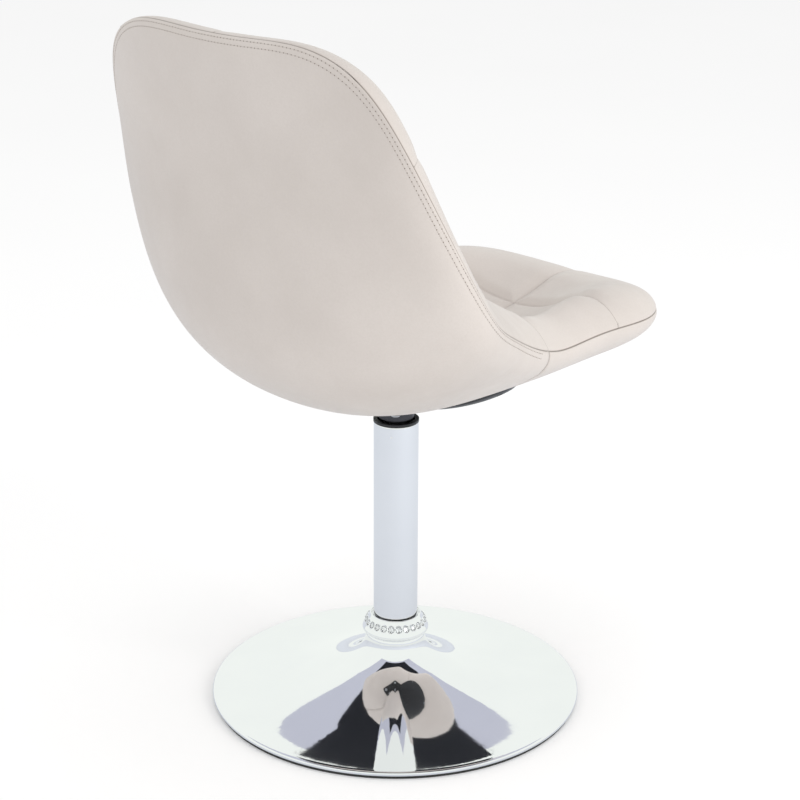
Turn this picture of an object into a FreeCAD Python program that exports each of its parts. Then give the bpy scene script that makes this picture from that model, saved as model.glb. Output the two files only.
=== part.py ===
import FreeCAD, Part

import math
import os
import re

import Sketcher

# Swivel dining chair: a quilted bucket seat that turns on a chromed column with a trumpet foot.
# Millimetres. The origin is on the floor under the swivel axis, +Z is up, the chair faces -Y.

V = FreeCAD.Vector

UP = V(0, 0, 1)

# Driving sizes
SIZES = {
    # Foot: a spun steel trumpet on a rubber ring, with a steel disc inside
    "foot_radius": 208.0,
    "foot_bead": 2.8,
    "foot_sheet": 1.5,
    "foot_flange": 6.0,
    "foot_rise": 63.0,
    "neck_radius": 34.0,
    "neck_height": 5.0,
    "ring_height": 3.0,
    "ring_width": 24.0,
    "plate_thickness": 3.0,
    "plate_gap": 0.5,
    "wrench_hole_radius": 22.0,
    # Socket that holds the column, its gussets and its bolt
    "socket_wall": 6.0,
    "socket_skirt": 10.0,
    "socket_floor": 8.0,
    "socket_grip": 42.0,
    "gusset_thickness": 3.0,
    "gusset_height": 44.0,
    "gusset_reach": 66.0,
    "gusset_nose": 4.0,
    "gusset_count": 4,
    "foot_bolt_radius": 6.0,
    "foot_bolt_head": 7.0,
    "foot_bolt_flat": 9.0,
    "foot_washer_radius": 12.0,
    "foot_washer_thickness": 2.5,
    "bolt_hole_gap": 0.3,
    # Column
    "column_radius": 25.0,
    "column_wall": 1.5,
    "column_length": 307.0,
    "plug_height": 12.0,
    "sliding_gap": 0.05,
    "dimple_radius": 1.8,
    "dimple_drop": 11.0,
    "dimple_count": 3,
    # Crystal collar around the foot of the column
    "collar_radius": 37.7,
    "collar_foot_radius": 35.2,
    "collar_lip_radius": 28.8,
    "collar_height": 22.0,
    "collar_band": 2.5,
    "collar_chamfer": 2.5,
    "collar_lip": 1.4,
    "collar_groove": 4.0,
    "crystal_count": 24,
    "crystal_radius": 3.5,
    "crystal_crown": 1.4,
    "crystal_table": 2.0,
    "crystal_depth": 1.6,
    "crystal_gap": 0.1,
    "crystal_facets": 8,
    # Swivel: plastic bushings, a turned spindle and a ball thrust bearing inside the column
    "spindle_radius": 14.0,
    "spindle_neck_radius": 12.0,
    "bushing_lip_radius": 25.4,
    "bushing_lip": 3.0,
    "bushing_depth": 30.0,
    "bushing_cup_radius": 21.0,
    "bushing_cup_depth": 6.0,
    "lower_bushing_height": 25.0,
    "lower_bushing_gap": 2.0,
    "bearing_drop": 130.0,
    "bearing_seat_thickness": 6.0,
    "race_thickness": 2.0,
    "race_inner_radius": 9.4,
    "race_outer_radius": 21.0,
    "ball_radius": 3.0,
    "ball_circle": 15.2,
    "ball_count": 12,
    "ball_gap": 0.05,
    "cage_thickness": 3.0,
    "cage_margin": 0.4,
    "stub_radius": 8.5,
    "stub_tail": 4.0,
    "washer_radius": 14.0,
    "washer_thickness": 1.5,
    "clip_radius": 11.5,
    "clip_groove_radius": 7.0,
    "clip_thickness": 1.2,
    "clip_opening": 9.0,
    "running_gap": 0.05,
    # Seat plate, its hub and its fasteners
    "hub_radius": 20.0,
    "hub_height": 21.5,
    "hub_gap": 2.5,
    "seat_plate_side": 92.0,
    "seat_plate_thickness": 3.0,
    "seat_plate_corner": 10.0,
    "bolt_spacing": 64.0,
    "bolt_radius": 3.0,
    "bolt_head_radius": 5.0,
    "bolt_head": 3.3,
    "spring_washer": 1.4,
    "spring_washer_radius": 5.2,
    "flat_washer": 1.2,
    "flat_washer_radius": 6.5,
    "nut_flange_radius": 8.0,
    "nut_flange": 1.2,
    "nut_barrel_radius": 4.0,
    "nut_barrel": 7.0,
    "opening_gap": 2.0,
    # Moulded cover under the front of the seat
    "cover_half_width": 98.0,
    "cover_half_length": 73.0,
    "cover_centre": 69.0,
    "cover_depth": 15.0,
    "cover_wall": 3.0,
    "cover_inner_share": 0.86,
    "cover_hub_gap": 3.0,
    "screw_radius": 1.75,
    "screw_head_radius": 3.2,
    "screw_head": 2.0,
    "screw_seat": 2.5,
    "screw_bite": 7.0,
    # Layers of the seat shell, counted from its outer face
    "leather": 1.2,
    "layer_gap": 0.5,
    "board_gap": 0.95,
    "wadding": 3.8,
    "plywood": 10.0,
    "plywood_across": 0.88,
    "plywood_along": 0.90,
    "edge_share": 0.11,
    "curve_power": 2.1,
    "corner_power": 5.0,
    "half_across": 190.0,
    "half_along": 520.0,
    # Quilting of the seat cover: the share of the profile and the bow of each crease
    "crease_depth": 6.0,
    "crease_width": 13.0,
    "thigh_crease": 0.142,
    "thigh_crease_bow": -0.035,
    "seat_crease": 0.303,
    "seat_crease_bow": -0.018,
    "hip_crease": 0.45,
    "hip_crease_bow": 0.0,
    "bend_crease": 0.585,
    "bend_crease_bow": 0.0,
    "back_crease": 0.75,
    "back_crease_bow": 0.0,
}

# Heights and radii that follow from the driving sizes
LEVELS = {
    "ring_radius": "foot_radius",
    "plate_top": "ring_height + plate_thickness",
    "rim_top": "ring_height + 2 * foot_bead",
    "neck_start": "rim_top + foot_rise",
    "neck_top": "neck_start + neck_height",
    "bore_radius": "column_radius + sliding_gap",
    "socket_radius": "bore_radius + socket_wall",
    "web_bottom": "plate_top + socket_skirt",
    "web_top": "web_bottom + socket_floor",
    "socket_top": "web_top + socket_grip",
    "washer_bottom": "web_bottom - foot_washer_thickness",
    "tube_inner": "column_radius - column_wall",
    "column_top": "web_top + column_length",
    "collar_top": "neck_top + collar_height",
    "bearing_level": "column_top - bearing_drop",
    "race_top": "bearing_level + race_thickness",
    "ball_level": "race_top + ball_radius + ball_gap",
    "upper_race_bottom": "ball_level + ball_radius + ball_gap",
    "upper_race_top": "upper_race_bottom + race_thickness",
    "bearing_seat_bottom": "bearing_level - bearing_seat_thickness",
    "retainer_top": "bearing_seat_bottom - running_gap * 2",
    "clip_top": "retainer_top - washer_thickness",
    "stub_bottom": "clip_top - clip_thickness - stub_tail",
    "bushing_top": "column_top + bushing_lip",
    "hub_bottom": "bushing_top + hub_gap",
    "hub_top": "hub_bottom + hub_height",
    "seat_level": "hub_top + seat_plate_thickness",
    "flat_washer_bottom": "hub_top - flat_washer",
    "spring_washer_bottom": "flat_washer_bottom - spring_washer",
    "bolt_bottom": "spring_washer_bottom - bolt_head",
}

# Stations of the seat shell from its front edge to the top of the back. Each row gives the share of
# the profile, the middle line (y and height over the seat plate), the half width, the seam line
# (y and height over the seat plate), the padding in front of it and the depth behind it.
STATION_WORDS = ("share", "mid_y", "mid_rise", "half_width", "seam_y", "seam_rise", "padding", "backing")
STATIONS = {
    "front": (0.0, -306, 77, 193, -290, 78, 37, 31),
    "thigh": (0.12, -216, 23, 179, -161, 85, 55, 17),
    "dish": (0.25, -90, 15, 181, -66, 80, 49, 15),
    "hip": (0.4, 65, 22, 218, 45, 125, 74, 20),
    "bend": (0.55, 202, 92, 247, 118, 178, 70, 20),
    "lumbar": (0.75, 235, 255, 225, 195, 326, 53, 5),
    "top": (1.0, 246, 427, 183, 231, 442, 40, 9),
}

os.makedirs("parts", exist_ok=True)
doc = FreeCAD.newDocument("swivel_chair")
sheet = doc.addObject("Spreadsheet::Sheet", "sizes")


# Fill one row of the sheet with a word, its value and an alias of the same name.
def put_row(row, word, content):
    sheet.set("A%d" % row, word)
    sheet.set("B%d" % row, content)
    sheet.setAlias("B%d" % row, word)


row = 1
for word, number in SIZES.items():
    put_row(row, word, str(number))
    row += 1
for station, numbers in STATIONS.items():
    for kind, number in zip(STATION_WORDS, numbers):
        put_row(row, station + "_" + kind, str(number))
        row += 1
for word, formula in LEVELS.items():
    put_row(row, word, "=" + formula)
    row += 1
doc.recompute()

WORDS = set(SIZES) | set(LEVELS)


# The value of a named size.
def size(word):
    return float(sheet.get(word))


# The same expression written with the sheet's name before each of its words.
def linked(text):
    return re.sub(r"[a-z_]+", lambda found: "sizes." + found.group(0) if found.group(0) in WORDS
                  else found.group(0), text)


# The value of an expression of named sizes.
def value(text):
    return float(sheet.evalExpression(text))


# The origin plane of a body.
def plane(body, role):
    return [feature for feature in body.Origin.OriginFeatures if feature.Role == role][0]


# A body turned about the swivel axis from corners given as (radius, height) expressions.
def turned(name, corners):
    body = doc.addObject("PartDesign::Body", name)
    sketch = body.newObject("Sketcher::SketchObject", name + "_profile")
    sketch.AttachmentSupport = [(plane(body, "XZ_Plane"), "")]
    sketch.MapMode = "FlatFace"
    spots = [V(value(radius), value(height), 0) for radius, height in corners]
    count = len(spots)
    for i in range(count):
        sketch.addGeometry(Part.LineSegment(spots[i], spots[(i + 1) % count]), False)
    for i in range(count):
        sketch.addConstraint(Sketcher.Constraint("Coincident", i, 2, (i + 1) % count, 1))
    for i, (radius, height) in enumerate(corners):
        if radius == "0":
            sketch.addConstraint(Sketcher.Constraint("PointOnObject", i, 1, -2))
        else:
            place = sketch.addConstraint(Sketcher.Constraint("DistanceX", -1, 1, i, 1, spots[i].x))
            sketch.setExpression("Constraints[%d]" % place, linked(radius))
        if height == "0":
            sketch.addConstraint(Sketcher.Constraint("PointOnObject", i, 1, -1))
        else:
            place = sketch.addConstraint(Sketcher.Constraint("DistanceY", -1, 1, i, 1, spots[i].y))
            sketch.setExpression("Constraints[%d]" % place, linked(height))
    turn = body.newObject("PartDesign::Revolution", name + "_turn")
    turn.Profile = sketch
    turn.ReferenceAxis = (sketch, ["V_Axis"])
    turn.Angle = 360
    body.Tip = turn
    return body


# A rectangular section between two radii and two heights.
def ring(name, inner, outer, bottom, top):
    return turned(name, [(inner, bottom), (outer, bottom), (outer, top), (inner, top)])


# A disc or pin with no bore.
def disc(name, radius, bottom, top):
    return turned(name, [("0", bottom), (radius, bottom), (radius, top), ("0", top)])


# A feature that holds a shape made in code.
def shaped(name, shape):
    feature = doc.addObject("Part::Feature", name)
    feature.Shape = shape
    return feature


# One shape cut by others, kept in the tree as a Part cut.
def cut(name, base, tool):
    feature = doc.addObject("Part::Cut", name)
    feature.Base = base
    feature.Tool = tool
    return feature


# Copies of a shape turned about the swivel axis at equal angles.
def around(shape, count, start=0.0):
    copies = []
    for i in range(int(count)):
        turned_copy = shape.copy()
        turned_copy.rotate(V(0, 0, 0), UP, start + 360.0 * i / count)
        copies.append(turned_copy)
    return copies


# A primitive whose sizes and place are bound to the sheet.
def primitive(kind, name, sizes, place):
    feature = doc.addObject(kind, name)
    for field, text in sizes.items():
        feature.setExpression(field, linked(text))
    for axis, text in zip("xyz", place):
        feature.setExpression("Placement.Base." + axis, linked(text))
    return feature


# The pieces of the chair in order, each with its own file.
PIECES = []


def piece(feature, name):
    feature.Label = name
    PIECES.append(feature)
    return feature


# Floor ring
piece(ring("ring_body", "ring_radius - ring_width", "ring_radius", "0", "ring_height"), "floor_ring")

# Ballast plate: a steel disc with a hole for the wrench
piece(ring("plate_body", "wrench_hole_radius", "foot_radius - foot_flange - plate_gap",
           "ring_height", "plate_top"), "ballast_plate")


# Trumpet section: a flat flange on the ring, a rolled bead, a concave quarter-ellipse flare and a
# straight neck; the inner side is the outer one moved in by the sheet's thickness.
def trumpet_side(inward):
    foot = size("foot_radius")
    bead = size("foot_bead")
    centre = size("ring_height") + bead
    reach = foot - size("neck_radius")
    points = [V(foot - size("foot_flange"), 0, centre - bead + inward)]
    for i in range(0, 13):
        angle = math.radians(-90 + 15 * i)
        radius = bead - inward
        points.append(V(foot + radius * math.cos(angle), 0, centre + radius * math.sin(angle)))
    for i in range(1, 25):
        angle = math.radians(90.0 * i / 24)
        run = reach * (1 - math.sin(angle))
        rise = size("foot_rise") * (1 - math.cos(angle))
        tangent = V(-reach * math.cos(angle), 0, size("foot_rise") * math.sin(angle))
        normal = V(-tangent.z, 0, tangent.x).normalize()
        points.append(V(size("neck_radius") + run, 0, size("rim_top") + rise) + normal * inward)
    points.append(V(size("neck_radius") - inward, 0, size("neck_top")))
    return points


# A wire through one side of the trumpet: straight flange, bead and flare as curves, straight neck.
def trumpet_edges(points):
    bead = Part.BSplineCurve()
    bead.interpolate(points[1:14])
    flare = Part.BSplineCurve()
    flare.interpolate(points[13:38])
    return [Part.makeLine(points[0], points[1]), bead.toShape(), flare.toShape(),
            Part.makeLine(points[37], points[38])]


outside = trumpet_side(0.0)
inside = trumpet_side(size("foot_sheet"))
section = trumpet_edges(outside) + [Part.makeLine(outside[-1], inside[-1])]
section += trumpet_edges(inside) + [Part.makeLine(inside[0], outside[0])]
section_face = Part.Face(Part.Wire(Part.__sortEdges__(section)))
piece(shaped("trumpet_shape", section_face.revolve(V(0, 0, 0), UP, 360)), "trumpet_base")

# Column socket: welded to the plate, with a web for the bolt and a bore for the tube
piece(turned("socket_body", [
    ("wrench_hole_radius - 2", "plate_top"),
    ("socket_radius", "plate_top"),
    ("socket_radius", "socket_top"),
    ("bore_radius", "socket_top"),
    ("bore_radius", "web_top"),
    ("foot_bolt_radius + bolt_hole_gap", "web_top"),
    ("foot_bolt_radius + bolt_hole_gap", "web_bottom"),
    ("wrench_hole_radius - 2", "web_bottom"),
]), "column_socket")

# Gussets between socket and plate
nose = size("plate_top") + size("gusset_nose")
gusset_start = size("socket_radius") - 0.2
gusset_points = [
    V(gusset_start, 0, size("plate_top")),
    V(gusset_start + size("gusset_reach"), 0, size("plate_top")),
    V(gusset_start + size("gusset_reach"), 0, nose),
    V(gusset_start + size("gusset_nose"), 0, size("plate_top") + size("gusset_height")),
    V(gusset_start, 0, size("plate_top") + size("gusset_height")),
]
gusset = Part.Face(Part.makePolygon(gusset_points + gusset_points[:1]))
gusset = gusset.extrude(V(0, size("gusset_thickness"), 0))
gusset.translate(V(0, -size("gusset_thickness") / 2, 0))
gusset = gusset.cut(Part.makeCylinder(size("socket_radius"), size("socket_top")))
piece(shaped("gusset_shape", Part.makeCompound(around(gusset, size("gusset_count"), 45.0))),
      "socket_ribs")

# Bolt and washer that pull the column down into its socket
hexagon = primitive("Part::Prism", "bolt_hexagon",
                    {"Circumradius": "foot_bolt_flat / cos(30deg)", "Height": "foot_bolt_head"},
                    ("0", "0", "washer_bottom - foot_bolt_head"))
hexagon.Polygon = 6
shank = primitive("Part::Cylinder", "bolt_shank",
                  {"Radius": "foot_bolt_radius",
                   "Height": "web_top + plug_height - washer_bottom - 1"},
                  ("0", "0", "washer_bottom"))
foot_bolt = doc.addObject("Part::MultiFuse", "foot_bolt_fuse")
foot_bolt.Shapes = [hexagon, shank]
piece(foot_bolt, "foot_bolt")
piece(ring("foot_washer_body", "foot_bolt_radius + bolt_hole_gap", "foot_washer_radius",
           "washer_bottom", "web_bottom"), "foot_washer")

# Column tube with staking dimples under its top edge
tube = ring("tube_body", "tube_inner", "column_radius", "web_top", "column_top")
dimple = Part.makeSphere(size("dimple_radius"),
                         V(size("column_radius") + size("dimple_radius") * 0.55, 0,
                           size("column_top") - size("dimple_drop")))
dimples = shaped("dimple_tool", Part.makeCompound(around(dimple, size("dimple_count"), 244.0)))
piece(cut("tube_cut", tube, dimples), "column_tube")
piece(ring("plug_body", "foot_bolt_radius", "tube_inner", "web_top", "web_top + plug_height"),
      "column_plug")

# Crystal collar: a cast ring that rests on the neck, with a row of stone pockets on its cone
collar = turned("collar_body", [
    ("bore_radius", "neck_top"),
    ("collar_foot_radius", "neck_top"),
    ("collar_radius", "neck_top + collar_chamfer"),
    ("collar_radius", "neck_top + collar_chamfer + collar_band"),
    ("collar_lip_radius", "collar_top"),
    ("collar_lip_radius - collar_lip", "collar_top"),
    ("collar_lip_radius - collar_lip", "collar_top - collar_groove"),
    ("bore_radius", "collar_top - collar_groove"),
])
cone_low = V(size("collar_radius"), 0, size("neck_top") + size("collar_chamfer") + size("collar_band"))
cone_high = V(size("collar_lip_radius"), 0, size("collar_top"))
cone_middle = (cone_low + cone_high) * 0.5
cone_run = cone_high - cone_low
cone_normal = V(cone_run.z, 0, -cone_run.x).normalize()
pocket = Part.makeCylinder(size("crystal_radius") + size("crystal_gap"), size("crystal_depth") + 3,
                           cone_middle - cone_normal * size("crystal_depth"), cone_normal)
pockets = shaped("pocket_tool", Part.makeCompound(around(pocket, size("crystal_count"), 7.5)))
piece(cut("collar_cut", collar, pockets), "crystal_collar")


# A faceted stone on the cone: pavilion, girdle, crown and table as rings of corners.
def stone():
    across = cone_run.normalize()
    beside = V(0, 1, 0)
    count = int(size("crystal_facets"))
    rings = (
        (size("crystal_radius") * 0.45, -size("crystal_depth"), 0.0),
        (size("crystal_radius"), -0.2, 0.0),
        (size("crystal_radius"), 0.2, 0.0),
        (size("crystal_table"), size("crystal_crown"), 0.5),
    )
    loops = []
    for radius, height, twist in rings:
        loop = []
        for i in range(count):
            angle = 2 * math.pi * (i + twist) / count
            loop.append(cone_middle + across * (radius * math.cos(angle))
                        + beside * (radius * math.sin(angle)) + cone_normal * height)
        loops.append(loop)
    faces = [Part.Face(Part.makePolygon(loops[0] + loops[0][:1])),
             Part.Face(Part.makePolygon(loops[3] + loops[3][:1]))]
    for low, high in ((0, 1), (1, 2), (2, 3)):
        for i in range(count):
            a = loops[low][i]
            b = loops[low][(i + 1) % count]
            c = loops[high][(i + 1) % count]
            d = loops[high][i]
            if high == 3:
                faces.append(Part.Face(Part.makePolygon([a, b, d, a])))
                faces.append(Part.Face(Part.makePolygon([b, c, d, b])))
            else:
                faces.append(Part.Face(Part.makePolygon([a, b, c, d, a])))
    return Part.Solid(Part.Shell(faces))


piece(shaped("stone_shape", Part.makeCompound(around(stone(), size("crystal_count"), 7.5))), "crystals")

# Bushings of black plastic in the tube
piece(turned("top_bushing_body", [
    ("spindle_radius + running_gap", "column_top - bushing_depth"),
    ("tube_inner", "column_top - bushing_depth"),
    ("tube_inner", "column_top"),
    ("bushing_lip_radius", "column_top"),
    ("bushing_lip_radius", "bushing_top"),
    ("bushing_cup_radius", "bushing_top"),
    ("bushing_cup_radius", "bushing_top - bushing_cup_depth"),
    ("spindle_radius + running_gap", "bushing_top - bushing_cup_depth"),
]), "top_bushing")
piece(ring("lower_bushing_body", "spindle_radius + running_gap", "tube_inner",
           "upper_race_top + lower_bushing_gap",
           "upper_race_top + lower_bushing_gap + lower_bushing_height"), "lower_bushing")

# Ball thrust bearing on a seat pressed into the tube
piece(ring("bearing_seat_body", "stub_radius + cage_margin", "tube_inner",
           "bearing_seat_bottom", "bearing_level"), "bearing_seat")
piece(ring("lower_race_body", "race_inner_radius", "race_outer_radius", "bearing_level", "race_top"),
      "bearing_lower_race")
piece(ring("upper_race_body", "race_inner_radius", "race_outer_radius", "upper_race_bottom",
           "upper_race_top"), "bearing_upper_race")
cage_ring = ring("cage_body", "race_inner_radius + cage_margin", "race_outer_radius - cage_margin",
                 "ball_level - cage_thickness / 2", "ball_level + cage_thickness / 2")
ball_hole = Part.makeCylinder(size("ball_radius") + size("ball_gap"), size("cage_thickness") * 2,
                              V(size("ball_circle"), 0, size("ball_level") - size("cage_thickness")))
ball_holes = shaped("cage_tool", Part.makeCompound(around(ball_hole, size("ball_count"))))
piece(cut("cage_cut", cage_ring, ball_holes), "ball_cage")
ball = Part.makeSphere(size("ball_radius"), V(size("ball_circle"), 0, size("ball_level")))
piece(shaped("ball_shape", Part.makeCompound(around(ball, size("ball_count")))), "bearing_balls")

# Spindle: a neck in the hub, the guided shaft, a shoulder on the upper race and a stub with a groove
piece(turned("spindle_body", [
    ("0", "stub_bottom"),
    ("stub_radius", "stub_bottom"),
    ("stub_radius", "clip_top - clip_thickness"),
    ("clip_groove_radius", "clip_top - clip_thickness"),
    ("clip_groove_radius", "clip_top"),
    ("stub_radius", "clip_top"),
    ("stub_radius", "upper_race_top"),
    ("spindle_radius", "upper_race_top"),
    ("spindle_radius", "hub_bottom"),
    ("spindle_neck_radius", "hub_bottom"),
    ("spindle_neck_radius", "seat_level"),
    ("0", "seat_level"),
]), "swivel_spindle")
piece(ring("retainer_body", "stub_radius + running_gap", "washer_radius", "clip_top", "retainer_top"),
      "retaining_washer")
clip_ring = ring("clip_body", "clip_groove_radius", "clip_radius", "clip_top - clip_thickness",
                 "clip_top")
clip_mouth = primitive("Part::Box", "clip_mouth",
                       {"Length": "clip_radius * 2", "Width": "clip_opening",
                        "Height": "clip_thickness * 3"},
                       ("0", "-clip_opening / 2", "clip_top - clip_thickness * 2"))
piece(cut("clip_cut", clip_ring, clip_mouth), "retaining_clip")

# Hub and seat plate
piece(ring("hub_body", "spindle_neck_radius", "hub_radius", "hub_bottom", "hub_top"), "plate_hub")


# Corners of the bolt square in order: front right, front left, back left, back right.
def bolt_places():
    half = size("bolt_spacing") / 2
    return [(half, -half), (-half, -half), (-half, half), (half, half)]


# A cylinder at each bolt.
def at_bolts(radius, bottom, top):
    return [Part.makeCylinder(radius, top - bottom, V(x, y, bottom)) for x, y in bolt_places()]


# A box with rounded upright corners, centred on the swivel axis.
def rounded_block(side, corner, bottom, top):
    block = Part.makeBox(side, side, top - bottom, V(-side / 2, -side / 2, bottom))
    upright = [edge for edge in block.Edges if abs(edge.tangentAt(edge.FirstParameter).z) > 0.9]
    return block.makeFillet(corner, upright)


hub_top = size("hub_top")
seat_level = size("seat_level")
plate_solid = rounded_block(size("seat_plate_side"), size("seat_plate_corner"), hub_top, seat_level)
plate_solid = plate_solid.cut(Part.makeCylinder(size("spindle_neck_radius"), 50, V(0, 0, hub_top - 10)))
plate_solid = plate_solid.cut(at_bolts(size("bolt_radius") + size("bolt_hole_gap"), hub_top - 1,
                                       seat_level + 1))
piece(shaped("seat_plate_shape", plate_solid), "seat_plate")


# Natural cubic spline through the stations; it gives the value and the slope at a share.
def spline(shares, values):
    count = len(shares)
    steps = [shares[i + 1] - shares[i] for i in range(count - 1)]
    upper = [0.0] * count
    right = [0.0] * count
    bend = [0.0] * count
    for i in range(1, count - 1):
        jump = (values[i + 1] - values[i]) / steps[i] - (values[i] - values[i - 1]) / steps[i - 1]
        pivot = 2 * (steps[i - 1] + steps[i]) - steps[i - 1] * upper[i - 1]
        upper[i] = steps[i] / pivot
        right[i] = (6 * jump - steps[i - 1] * right[i - 1]) / pivot
    for i in range(count - 2, 0, -1):
        bend[i] = right[i] - upper[i] * bend[i + 1]

    def at(share):
        k = 0
        while k < count - 2 and share > shares[k + 1]:
            k += 1
        a = (shares[k + 1] - share) / steps[k]
        b = 1 - a
        curve = ((a ** 3 - a) * bend[k] + (b ** 3 - b) * bend[k + 1]) * steps[k] ** 2 / 6
        slope = (values[k + 1] - values[k]) / steps[k]
        slope += ((3 * b * b - 1) * bend[k + 1] - (3 * a * a - 1) * bend[k]) * steps[k] / 6
        return a * values[k] + b * values[k + 1] + curve, slope

    return at


def station_spline(kind, lift=0.0):
    shares = [size(name + "_share") for name in STATIONS]
    return spline(shares, [size(name + "_" + kind) + lift for name in STATIONS])


mid_y = station_spline("mid_y")
mid_z = station_spline("mid_rise", seat_level)
half_width = station_spline("half_width")
seam_y = station_spline("seam_y")
seam_z = station_spline("seam_rise", seat_level)
padding = station_spline("padding")
backing = station_spline("backing")
POWER = size("curve_power")
CORNER = size("corner_power")
EDGE = size("edge_share")


# Place on the unit disc of a place on the unit square.
def disc_place(p, q):
    return p * math.sqrt(1 - q * q / 2), q * math.sqrt(1 - p * p / 2)


# Share across and share along the profile of a place on the disc; the corners are drawn out a little.
def shares(x, y):
    radius = math.hypot(x, y)
    if radius < 1e-9:
        return 0.0, 0.5
    draw = ((abs(x) / radius) ** CORNER + (abs(y) / radius) ** CORNER) ** (-1 / CORNER)
    draw = 1 + (draw - 1) * radius * radius
    return x * draw, min(max(0.5 + 0.5 * y * draw, 0.0), 1.0)


# How far the faces stand off the seam surface: 1 inside, falling to 0 at the seam as a quarter circle.
def fullness(radius):
    edge = min(max((radius - (1 - EDGE)) / EDGE, 0.0), 1.0)
    return math.sqrt(1 - edge * edge)


# Point and unit normal of the seam surface, which bends up from the middle line to the seam.
def seam_surface(across, along):
    y0, dy0 = mid_y(along)
    z0, dz0 = mid_z(along)
    width, dwidth = half_width(along)
    y1, dy1 = seam_y(along)
    z1, dz1 = seam_z(along)
    side = abs(across)
    blend = side ** POWER
    dblend = POWER * side ** (POWER - 1) if side > 0 else 0.0
    sign = 1.0 if across >= 0 else -1.0
    point = V(width * across, y0 + (y1 - y0) * blend, z0 + (z1 - z0) * blend)
    run_along = V(dwidth * across, dy0 + (dy1 - dy0) * blend, dz0 + (dz1 - dz0) * blend)
    run_across = V(width, (y1 - y0) * dblend * sign, (z1 - z0) * dblend * sign)
    return point, run_across.cross(run_along).normalize()


CREASES = ("thigh_crease", "seat_crease", "hip_crease", "bend_crease", "back_crease")


# Depth of the quilting: soft grooves along the middle and along each crossing line.
def quilting(across, along):
    width = size("crease_width")
    deep = math.exp(-(across * size("half_across") / width) ** 2)
    for crease in CREASES:
        line = size(crease) + size(crease + "_bow") * across * across
        deep = max(deep, math.exp(-((along - line) * 2 * size("half_along") / width) ** 2))
    return deep * size("crease_depth")


# The place on the square where the profile share equals a crossing line, for one column.
def line_place(p, crease):
    low = -1.0
    high = 1.0
    for _ in range(40):
        middle = (low + high) / 2
        across, along = shares(*disc_place(p, middle))
        if along < size(crease) + size(crease + "_bow") * across * across:
            low = middle
        else:
            high = middle
    return (low + high) / 2


# Columns and rows of the grid. Columns crowd at the seam and at the middle crease; rows crowd at
# both ends and at the crossing lines, and each of those lines is a row of the grid.
def columns():
    spots = {round(math.sin(math.radians(6 * i - 90)), 9) for i in range(31)}
    for step in (0.022, 0.048, 0.076):
        spots |= {step, -step}
    return sorted(spots)


COLUMNS = columns()


def anchors(p):
    places = [line_place(p, crease) for crease in CREASES]
    return [-1.0] + places[:3] + [0.0] + places[3:] + [1.0]


def rows():
    spots = [math.sin(math.radians(2.5 * i - 90)) for i in range(73)]
    marks = anchors(0.0)
    lines = marks[1:4] + marks[5:7]
    kept = [spot for spot in spots if min(abs(spot - line) for line in lines) > 0.035]
    for line in lines:
        kept += [line, line - 0.014, line + 0.014, line - 0.030, line + 0.030]
    return sorted(set(kept))


ROWS = rows()
MARKS = anchors(0.0)


# The grid place of a column and a row, moved so that the marked rows follow the crossing lines.
def grid_place(p, marks, row_spot):
    k = 0
    while k < len(MARKS) - 2 and row_spot > MARKS[k + 1]:
        k += 1
    share = (row_spot - MARKS[k]) / (MARKS[k + 1] - MARKS[k])
    return p, marks[k] + share * (marks[k + 1] - marks[k])


GRID = []
for p in COLUMNS:
    column_marks = anchors(p)
    GRID.append([disc_place(*grid_place(p, column_marks, spot)) for spot in ROWS])


# Grid of points of one layer. The grid shrinks by the inset or by the given scales, and the offset
# from the seam surface is a function of the shares, the fullness and the plywood's own radius.
def layer(offset, inset=0.0, scale=None):
    shrink_x = 1 - inset / size("half_across")
    shrink_y = 1 - inset / size("half_along")
    points = []
    for column in GRID:
        line = []
        for x, y in column:
            radius = math.hypot(x, y)
            if scale:
                radius = math.hypot(x * scale[0], y * scale[1])
                across, along = shares(x * scale[0], y * scale[1])
            else:
                across, along = shares(x * shrink_x, y * shrink_y)
            board = math.hypot(x / size("plywood_across"), y / size("plywood_along"))
            point, normal = seam_surface(across, along)
            line.append(point + normal * offset(across, along, fullness(radius), board))
        points.append(line)
    return points


# Offset of a layer that lies a given depth under the outer face.
def under_back(depth, drop=0.0):
    return lambda across, along, full, board: (
        -(backing(along)[0] - depth) * full - drop * (1 - full))


# Offset of a layer that lies a given depth under the sitter's face, quilting included.
def under_front(depth):
    return lambda across, along, full, board: (
        (padding(along)[0] - depth - quilting(across, along)) * full)


# Knots and multiplicities of a clamped cubic spline with equal spans.
def knots(count):
    return [float(i) for i in range(count - 2)], [4] + [1] * (count - 4) + [4]


def surface(points):
    along_knots, along_mults = knots(len(points[0]))
    across_knots, across_mults = knots(len(points))
    patch = Part.BSplineSurface()
    patch.buildFromPolesMultsKnots(points, across_mults, along_mults, across_knots, along_knots,
                                   False, False, 3, 3)
    return patch


# The narrow face between matching border curves of two patches.
def border(low, high):
    return Part.makeRuledSurface(low.toShape(), high.toShape())


# A closed solid between two patches over the same rows; the rows can be limited to a part of them.
def sandwich(back_points, front_points, start=0.0, end=1.0):
    first = surface(back_points)
    second = surface(front_points)
    u0, u1, v0, v1 = first.bounds()
    cut0 = v0 + (v1 - v0) * start
    cut1 = v0 + (v1 - v0) * end
    if start > 0.0 or end < 1.0:
        first.segment(u0, u1, cut0, cut1)
        second.segment(u0, u1, cut0, cut1)
    faces = [first.toShape(), second.toShape()]
    faces += [border(first.uIso(u), second.uIso(u)) for u in (u0, u1)]
    faces += [border(first.vIso(v), second.vIso(v)) for v in (cut0, cut1)]
    shell = Part.Shell(faces)
    shell.sewShape()
    solid = Part.Solid(shell)
    if solid.Volume < 0:
        solid.reverse()
    return solid


# The share of the rows' span at which a marked row lies.
def row_share(mark):
    index = min(range(len(ROWS)), key=lambda i: abs(ROWS[i] - mark))
    return (index - 1) / (len(ROWS) - 3)


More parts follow.
